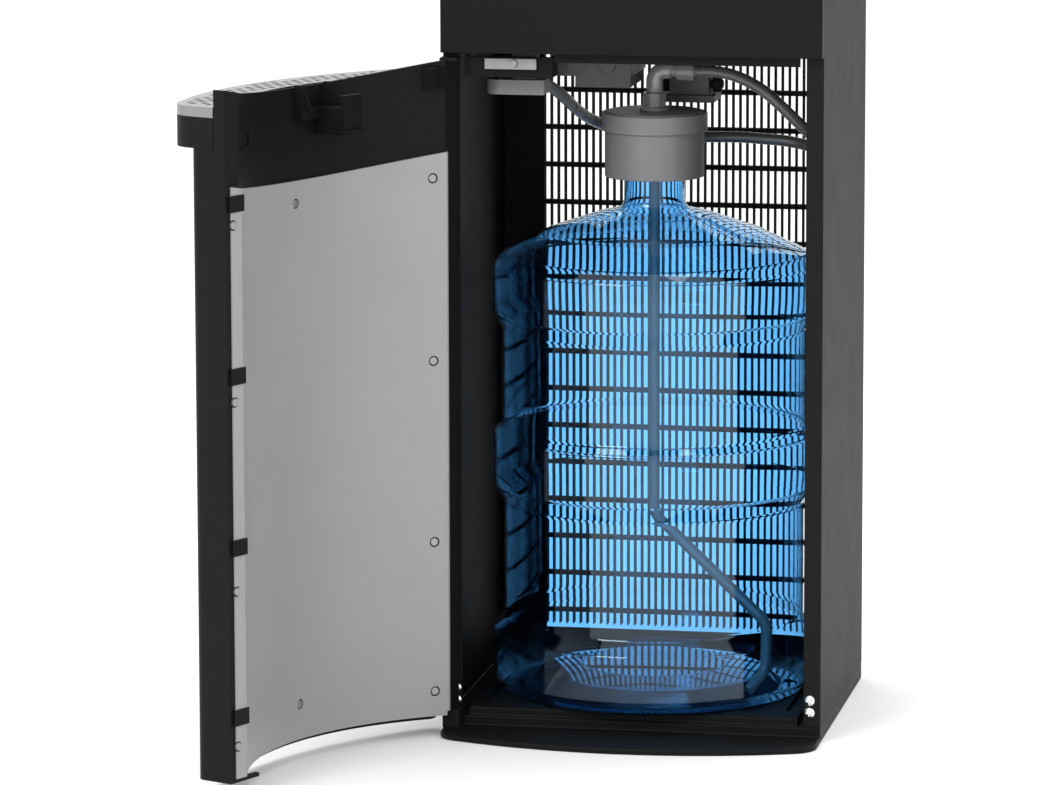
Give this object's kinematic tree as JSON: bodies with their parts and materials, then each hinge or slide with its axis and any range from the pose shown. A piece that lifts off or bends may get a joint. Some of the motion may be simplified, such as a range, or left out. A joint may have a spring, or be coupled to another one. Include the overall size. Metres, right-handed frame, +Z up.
{
  "type": "bottom-loading water dispenser",
  "caption": "Floor-standing bottom-loading water dispenser: steel cabinet, bowed hinged door with drip tray, bottle with probe cap and hose, push-button dispensing head, rear condenser.",
  "frame": {"origin": "On the underside of the base, at the middle of the width, below the plane of the front flanges of the side panels", "axes": "X to the viewer's right, Y from the front to the back, Z up"},
  "size_m": [0.4697, 0.5535, 1.031],
  "materials": {
    "painted_steel": "fine satin powder coat, black",
    "moulded_black": "fine-textured black moulding",
    "gloss_panel": "gloss black",
    "amber_lens": "translucent amber",
    "chrome_trim": "bright chrome",
    "condenser_paint": "dip-painted black",
    "plate_grey": "satin light grey",
    "fitting_grey": "satin mid grey moulding",
    "pan_grey": "dark grey moulding",
    "pump_grey": "satin grey moulding",
    "soft_rubber": "soft black rubber",
    "hose_clear": "milky silicone hose",
    "clear_fitting": "translucent grey plastic",
    "tank_steel": "brushed stainless steel",
    "foam_cream": "closed-cell foam",
    "compressor_black": "gloss black enamel",
    "board_green": "solder mask green",
    "liner_grey": "fine-grained light grey",
    "screw_grey": "zinc-plated",
    "magnet_black": "magnet strip, black",
    "grille_silver": "satin silver",
    "bottle_blue": "clear tinted blue",
    "button_red": "gloss red",
    "button_white": "gloss off-white",
    "button_blue": "gloss blue",
    "switch_green": "gloss green"
  },
  "bodies": {
    "cabinet": {"side_panel_left": "painted_steel", "side_panel_right": "painted_steel", "rear_frame": "painted_steel", "rear_cover": "painted_steel", "mid_shelf": "painted_steel", "tank_shelf": "painted_steel", "pump_bracket": "painted_steel", "hinge_block_lower": "painted_steel", "hinge_bracket_upper": "painted_steel", "base_plate": "moulded_black", "front_panel": "moulded_black", "head_shell": "moulded_black", "top_cover": "moulded_black", "switch_bracket": "moulded_black", "control_panel": "gloss_panel", "indicator_lights": "amber_lens", "cabinet_screws": "chrome_trim", "hinge_pins": "chrome_trim", "spouts": "chrome_trim", "condenser_tube": "condenser_paint", "condenser_wires": "condenser_paint", "condenser_brackets": "condenser_paint", "switch_plate": "plate_grey", "water_manifold": "fitting_grey", "drain_pan": "pan_grey", "pump_body": "pump_grey", "pump_mounts": "soft_rubber", "compressor_mounts": "soft_rubber", "cable_gland": "soft_rubber", "drain_plug": "soft_rubber", "supply_hose": "hose_clear", "cold_tank": "tank_steel", "hot_tank": "tank_steel", "tank_insulation": "foam_cream", "compressor": "compressor_black", "control_board": "board_green"},
    "door": {"door_skin": "moulded_black", "door_frame": "moulded_black", "door_liner": "liner_grey", "liner_screws": "screw_grey", "liner_clips": "moulded_black", "probe_hanger": "moulded_black", "door_magnet": "magnet_black"},
    "tray": {"drip_tray": "moulded_black"},
    "grille": {"drip_grille": "grille_silver"},
    "bottle": {"water_bottle": "bottle_blue", "probe_cap": "fitting_grey", "cap_collar": "fitting_grey", "probe_elbow": "clear_fitting", "collar_nut": "clear_fitting", "dip_tube": "clear_fitting", "hose_clip": "clear_fitting"},
    "plunger": {"switch_plunger": "plate_grey"},
    "hot_push": {"hot_button": "button_red"},
    "room_push": {"room_button": "button_white"},
    "cold_push": {"cold_button": "button_blue"},
    "lock_slider": {"child_lock": "button_red"},
    "heater_rocker": {"heater_switch": "button_red"},
    "cooler_rocker": {"cooler_switch": "switch_green"}
  },
  "joints": [
    {"name": "door_swing", "type": "hinge", "parent": "cabinet", "child": "door", "pos_m": [-0.148, -0.008, 0.28], "axis": [0, 0, -1], "range_deg": [-114.6, 0]},
    {"name": "bottle_out", "type": "slide", "parent": "cabinet", "child": "bottle", "axis": [0, -1, 0], "range_m": [0, 0.36]},
    {"name": "tray_lift", "type": "slide", "parent": "door", "child": "tray", "axis": [0, 0, 1], "range_m": [0, 0.06]},
    {"name": "grille_lift", "type": "slide", "parent": "tray", "child": "grille", "axis": [0, 0, 1], "range_m": [0, 0.04]},
    {"name": "door_switch", "type": "slide", "parent": "cabinet", "child": "plunger", "axis": [0, 1, 0], "range_m": [0, 0.002], "stiffness_N_per_m": 200},
    {"name": "hot_press", "type": "slide", "parent": "cabinet", "child": "hot_push", "axis": [0, 1, 0], "range_m": [0, 0.003], "stiffness_N_per_m": 400},
    {"name": "room_press", "type": "slide", "parent": "cabinet", "child": "room_push", "axis": [0, 1, 0], "range_m": [0, 0.003], "stiffness_N_per_m": 400},
    {"name": "cold_press", "type": "slide", "parent": "cabinet", "child": "cold_push", "axis": [0, 1, 0], "range_m": [0, 0.003], "stiffness_N_per_m": 400},
    {"name": "lock_slide", "type": "slide", "parent": "cabinet", "child": "lock_slider", "axis": [1, 0, 0], "range_m": [0, 0.009]},
    {"name": "heater_tilt", "type": "hinge", "parent": "cabinet", "child": "heater_rocker", "pos_m": [-0.022, 0.2581, 0.831], "axis": [1, 0, 0], "range_deg": [0, 14]},
    {"name": "cooler_tilt", "type": "hinge", "parent": "cabinet", "child": "cooler_rocker", "pos_m": [0.022, 0.2581, 0.831], "axis": [1, 0, 0], "range_deg": [0, 14]}
  ]
}
